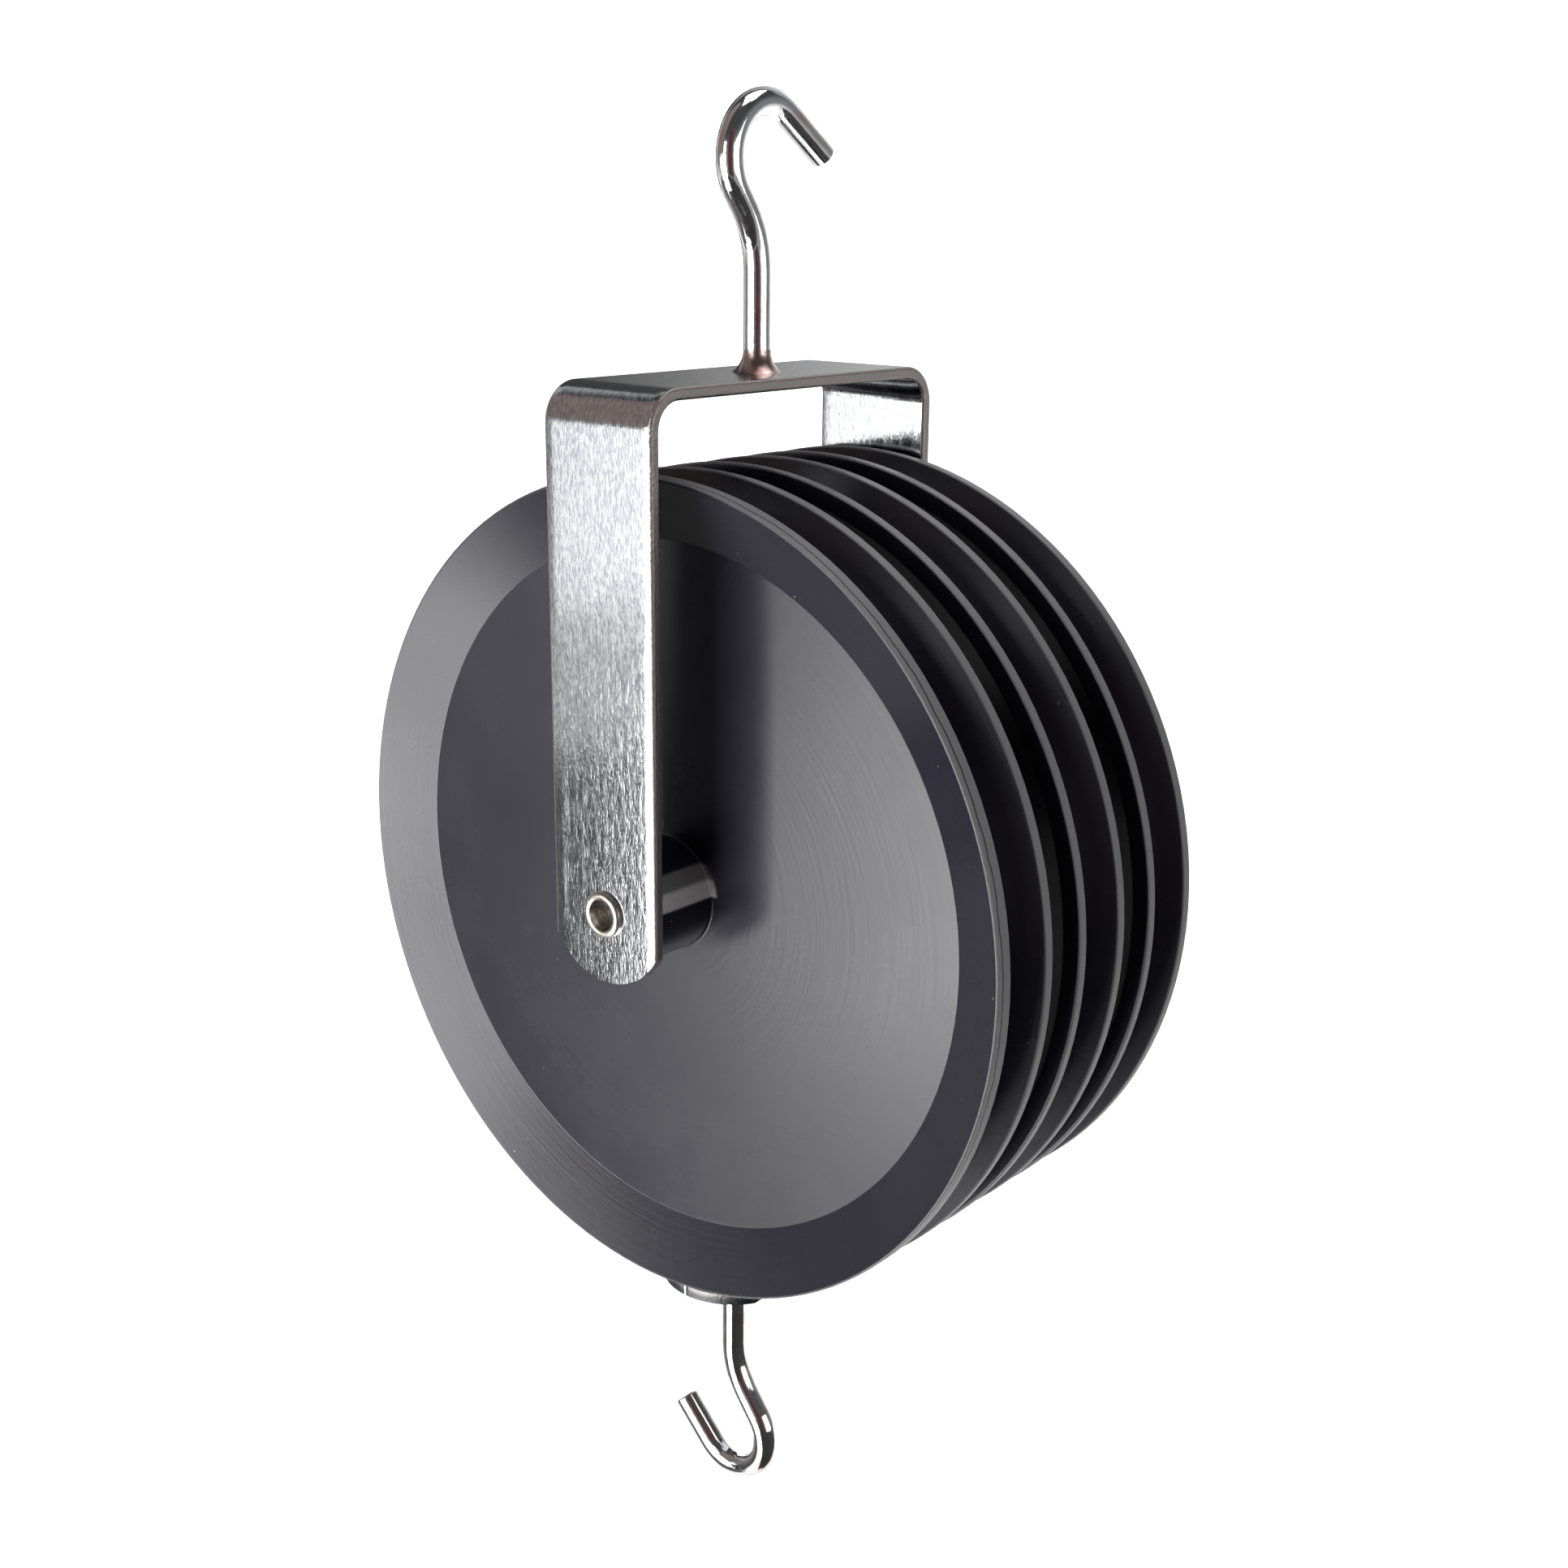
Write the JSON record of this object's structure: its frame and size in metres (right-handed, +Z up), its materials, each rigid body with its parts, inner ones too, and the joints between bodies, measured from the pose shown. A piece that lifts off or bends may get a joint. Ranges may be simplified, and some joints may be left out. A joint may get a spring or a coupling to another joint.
{
  "type": "parallel pulley block",
  "caption": "Parallel pulley block: grooved black sheaves side by side on a riveted axle in a bent steel yoke, with a wire hook above and one on a swinging hanger below.",
  "frame": {"origin": "seat of the upper hook: the inside top of its bowl, where the hanging block bears on its support", "axes": "+Z up, towards the support; +Y along the axle, from the front leg of the yoke to the rear leg, where the hanger arm is; +X to the right seen from the front"},
  "size_m": [0.05, 0.0262, 0.0898],
  "materials": {
    "plated_strap": "bright zinc-nickel plate with fine lengthwise grain and scratches",
    "plated_wire": "polished plate",
    "braze": "plated braze, a little darker and warmer than the wire",
    "rivet": "warm nickel plate, satin",
    "sheave_plastic": "black moulded plastic, semi-gloss"
  },
  "bodies": {
    "frame": {"yoke": "plated_strap", "upper_hook": "plated_wire", "upper_hook_braze": "braze", "axle_rivet": "rivet"},
    "front_wheel": {"front_sheave": "sheave_plastic"},
    "middle_wheel": {"middle_sheave": "sheave_plastic"},
    "rear_wheel": {"rear_sheave": "sheave_plastic"},
    "load_hanger": {"hanger": "plated_strap", "lower_hook": "plated_wire", "lower_hook_braze": "braze"}
  },
  "joints": [
    {"name": "front_sheave_spin", "type": "hinge", "parent": "frame", "child": "front_wheel", "pos_m": [0, -0.00143, -0.04446], "axis": [0, 1, 0], "continuous": true},
    {"name": "middle_sheave_spin", "type": "hinge", "parent": "frame", "child": "middle_wheel", "pos_m": [0, -0.00143, -0.04446], "axis": [0, 1, 0], "continuous": true},
    {"name": "rear_sheave_spin", "type": "hinge", "parent": "frame", "child": "rear_wheel", "pos_m": [0, -0.00143, -0.04446], "axis": [0, 1, 0], "continuous": true},
    {"name": "hanger_swing", "type": "hinge", "parent": "frame", "child": "load_hanger", "pos_m": [0, -0.00143, -0.04446], "axis": [0, 1, 0], "range_deg": [-169, 169]}
  ]
}
